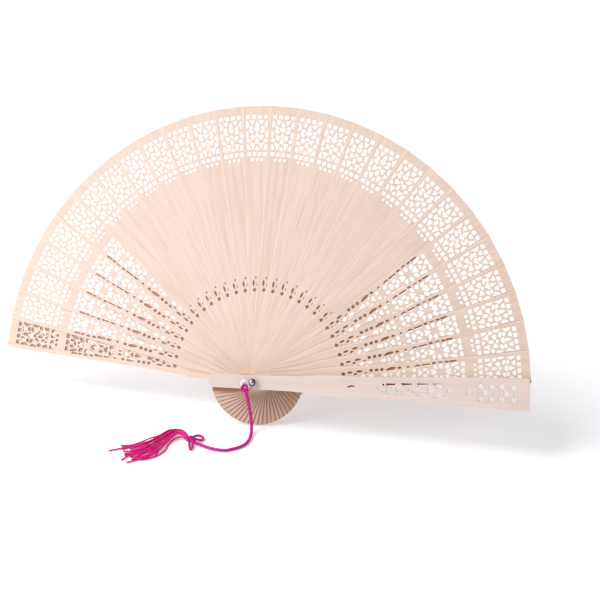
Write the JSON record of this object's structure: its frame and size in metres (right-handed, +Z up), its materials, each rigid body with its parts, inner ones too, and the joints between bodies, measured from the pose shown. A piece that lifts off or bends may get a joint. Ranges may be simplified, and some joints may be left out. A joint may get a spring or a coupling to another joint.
{
  "type": "hand fan",
  "caption": "Folding hand fan held open: thin pierced wooden blades overlap round a rivet between thicker guards, with a metal eyelet, a cord and a tassel.",
  "frame": {"origin": "on the rivet's axis, in the middle of the stack of sticks", "axes": "+Z up, +X to the right of someone facing the open fan, -Y towards that person; the rivet's axis leans up from -Y by 22 degrees because the fan leans back"},
  "size_m": [0.3964, 0.1646, 0.2141],
  "materials": {
    "stick_wood": "satin",
    "guard_wood": "satin",
    "rivet_chrome": "polished",
    "eyelet_metal": "polished",
    "cord_fabric": "satin"
  },
  "bodies": {
    "front_guard": {"front_guard": "guard_wood", "rivet": "rivet_chrome", "rivet_cap": "rivet_chrome", "cord_eyelet": "eyelet_metal", "cord_knot": "cord_fabric", "cord": "cord_fabric", "tassel_bow": "cord_fabric", "tassel": "cord_fabric"},
    "rear_guard": {"rear_guard": "guard_wood"},
    "stick_01": {"stick_01": "stick_wood"},
    "stick_02": {"stick_02": "stick_wood"},
    "stick_03": {"stick_03": "stick_wood"},
    "stick_04": {"stick_04": "stick_wood"},
    "stick_05": {"stick_05": "stick_wood"},
    "stick_06": {"stick_06": "stick_wood"},
    "stick_07": {"stick_07": "stick_wood"},
    "stick_08": {"stick_08": "stick_wood"},
    "stick_09": {"stick_09": "stick_wood"},
    "stick_10": {"stick_10": "stick_wood"},
    "stick_11": {"stick_11": "stick_wood"},
    "stick_12": {"stick_12": "stick_wood"},
    "stick_13": {"stick_13": "stick_wood"},
    "stick_14": {"stick_14": "stick_wood"},
    "stick_15": {"stick_15": "stick_wood"},
    "stick_16": {"stick_16": "stick_wood"},
    "stick_17": {"stick_17": "stick_wood"},
    "stick_18": {"stick_18": "stick_wood"},
    "stick_19": {"stick_19": "stick_wood"},
    "stick_20": {"stick_20": "stick_wood"},
    "stick_21": {"stick_21": "stick_wood"},
    "stick_22": {"stick_22": "stick_wood"},
    "stick_23": {"stick_23": "stick_wood"},
    "stick_24": {"stick_24": "stick_wood"},
    "stick_25": {"stick_25": "stick_wood"},
    "stick_26": {"stick_26": "stick_wood"},
    "stick_27": {"stick_27": "stick_wood"},
    "stick_28": {"stick_28": "stick_wood"}
  },
  "joints": [
    {"name": "fold", "type": "hinge", "parent": "front_guard", "child": "rear_guard", "pos_m": [0, 0, 0], "axis": [0, -0.9272, 0.3746], "range_deg": [-172, 0]},
    {"name": "fold_01", "type": "hinge", "parent": "front_guard", "child": "stick_01", "pos_m": [0, 0, 0], "axis": [0, -0.9272, 0.3746], "range_deg": [-171.85, 0]},
    {"name": "fold_02", "type": "hinge", "parent": "front_guard", "child": "stick_02", "pos_m": [0, 0, 0], "axis": [0, -0.9272, 0.3746], "range_deg": [-165.69, 0]},
    {"name": "fold_03", "type": "hinge", "parent": "front_guard", "child": "stick_03", "pos_m": [0, 0, 0], "axis": [0, -0.9272, 0.3746], "range_deg": [-159.54, 0]},
    {"name": "fold_04", "type": "hinge", "parent": "front_guard", "child": "stick_04", "pos_m": [0, 0, 0], "axis": [0, -0.9272, 0.3746], "range_deg": [-153.38, 0]},
    {"name": "fold_05", "type": "hinge", "parent": "front_guard", "child": "stick_05", "pos_m": [0, 0, 0], "axis": [0, -0.9272, 0.3746], "range_deg": [-147.23, 0]},
    {"name": "fold_06", "type": "hinge", "parent": "front_guard", "child": "stick_06", "pos_m": [0, 0, 0], "axis": [0, -0.9272, 0.3746], "range_deg": [-141.07, 0]},
    {"name": "fold_07", "type": "hinge", "parent": "front_guard", "child": "stick_07", "pos_m": [0, 0, 0], "axis": [0, -0.9272, 0.3746], "range_deg": [-134.92, 0]},
    {"name": "fold_08", "type": "hinge", "parent": "front_guard", "child": "stick_08", "pos_m": [0, 0, 0], "axis": [0, -0.9272, 0.3746], "range_deg": [-128.76, 0]},
    {"name": "fold_09", "type": "hinge", "parent": "front_guard", "child": "stick_09", "pos_m": [0, 0, 0], "axis": [0, -0.9272, 0.3746], "range_deg": [-122.61, 0]},
    {"name": "fold_10", "type": "hinge", "parent": "front_guard", "child": "stick_10", "pos_m": [0, 0, 0], "axis": [0, -0.9272, 0.3746], "range_deg": [-116.45, 0]},
    {"name": "fold_11", "type": "hinge", "parent": "front_guard", "child": "stick_11", "pos_m": [0, 0, 0], "axis": [0, -0.9272, 0.3746], "range_deg": [-110.29, 0]},
    {"name": "fold_12", "type": "hinge", "parent": "front_guard", "child": "stick_12", "pos_m": [0, 0, 0], "axis": [0, -0.9272, 0.3746], "range_deg": [-104.14, 0]},
    {"name": "fold_13", "type": "hinge", "parent": "front_guard", "child": "stick_13", "pos_m": [0, 0, 0], "axis": [0, -0.9272, 0.3746], "range_deg": [-97.98, 0]},
    {"name": "fold_14", "type": "hinge", "parent": "front_guard", "child": "stick_14", "pos_m": [0, 0, 0], "axis": [0, -0.9272, 0.3746], "range_deg": [-91.83, 0]},
    {"name": "fold_15", "type": "hinge", "parent": "front_guard", "child": "stick_15", "pos_m": [0, 0, 0], "axis": [0, -0.9272, 0.3746], "range_deg": [-85.67, 0]},
    {"name": "fold_16", "type": "hinge", "parent": "front_guard", "child": "stick_16", "pos_m": [0, 0, 0], "axis": [0, -0.9272, 0.3746], "range_deg": [-79.52, 0]},
    {"name": "fold_17", "type": "hinge", "parent": "front_guard", "child": "stick_17", "pos_m": [0, 0, 0], "axis": [0, -0.9272, 0.3746], "range_deg": [-73.36, 0]},
    {"name": "fold_18", "type": "hinge", "parent": "front_guard", "child": "stick_18", "pos_m": [0, 0, 0], "axis": [0, -0.9272, 0.3746], "range_deg": [-67.2, 0]},
    {"name": "fold_19", "type": "hinge", "parent": "front_guard", "child": "stick_19", "pos_m": [0, 0, 0], "axis": [0, -0.9272, 0.3746], "range_deg": [-61.05, 0]},
    {"name": "fold_20", "type": "hinge", "parent": "front_guard", "child": "stick_20", "pos_m": [0, 0, 0], "axis": [0, -0.9272, 0.3746], "range_deg": [-54.89, 0]},
    {"name": "fold_21", "type": "hinge", "parent": "front_guard", "child": "stick_21", "pos_m": [0, 0, 0], "axis": [0, -0.9272, 0.3746], "range_deg": [-48.74, 0]},
    {"name": "fold_22", "type": "hinge", "parent": "front_guard", "child": "stick_22", "pos_m": [0, 0, 0], "axis": [0, -0.9272, 0.3746], "range_deg": [-42.58, 0]},
    {"name": "fold_23", "type": "hinge", "parent": "front_guard", "child": "stick_23", "pos_m": [0, 0, 0], "axis": [0, -0.9272, 0.3746], "range_deg": [-36.43, 0]},
    {"name": "fold_24", "type": "hinge", "parent": "front_guard", "child": "stick_24", "pos_m": [0, 0, 0], "axis": [0, -0.9272, 0.3746], "range_deg": [-30.27, 0]},
    {"name": "fold_25", "type": "hinge", "parent": "front_guard", "child": "stick_25", "pos_m": [0, 0, 0], "axis": [0, -0.9272, 0.3746], "range_deg": [-24.12, 0]},
    {"name": "fold_26", "type": "hinge", "parent": "front_guard", "child": "stick_26", "pos_m": [0, 0, 0], "axis": [0, -0.9272, 0.3746], "range_deg": [-17.96, 0]},
    {"name": "fold_27", "type": "hinge", "parent": "front_guard", "child": "stick_27", "pos_m": [0, 0, 0], "axis": [0, -0.9272, 0.3746], "range_deg": [-11.8, 0]},
    {"name": "fold_28", "type": "hinge", "parent": "front_guard", "child": "stick_28", "pos_m": [0, 0, 0], "axis": [0, -0.9272, 0.3746], "range_deg": [-5.65, 0]}
  ],
  "couplings": [
    {"joint": "fold_01", "follows": "fold", "ratio": 0.99884},
    {"joint": "fold_02", "follows": "fold", "ratio": 0.96305},
    {"joint": "fold_03", "follows": "fold", "ratio": 0.92726},
    {"joint": "fold_04", "follows": "fold", "ratio": 0.89147},
    {"joint": "fold_05", "follows": "fold", "ratio": 0.85568},
    {"joint": "fold_06", "follows": "fold", "ratio": 0.8199},
    {"joint": "fold_07", "follows": "fold", "ratio": 0.78411},
    {"joint": "fold_08", "follows": "fold", "ratio": 0.74832},
    {"joint": "fold_09", "follows": "fold", "ratio": 0.71253},
    {"joint": "fold_10", "follows": "fold", "ratio": 0.67674},
    {"joint": "fold_11", "follows": "fold", "ratio": 0.64096},
    {"joint": "fold_12", "follows": "fold", "ratio": 0.60517},
    {"joint": "fold_13", "follows": "fold", "ratio": 0.56938},
    {"joint": "fold_14", "follows": "fold", "ratio": 0.53359},
    {"joint": "fold_15", "follows": "fold", "ratio": 0.4978},
    {"joint": "fold_16", "follows": "fold", "ratio": 0.46201},
    {"joint": "fold_17", "follows": "fold", "ratio": 0.42623},
    {"joint": "fold_18", "follows": "fold", "ratio": 0.39044},
    {"joint": "fold_19", "follows": "fold", "ratio": 0.35465},
    {"joint": "fold_20", "follows": "fold", "ratio": 0.31886},
    {"joint": "fold_21", "follows": "fold", "ratio": 0.28307},
    {"joint": "fold_22", "follows": "fold", "ratio": 0.24729},
    {"joint": "fold_23", "follows": "fold", "ratio": 0.2115},
    {"joint": "fold_24", "follows": "fold", "ratio": 0.17571},
    {"joint": "fold_25", "follows": "fold", "ratio": 0.13992},
    {"joint": "fold_26", "follows": "fold", "ratio": 0.10413},
    {"joint": "fold_27", "follows": "fold", "ratio": 0.068344},
    {"joint": "fold_28", "follows": "fold", "ratio": 0.032556}
  ]
}
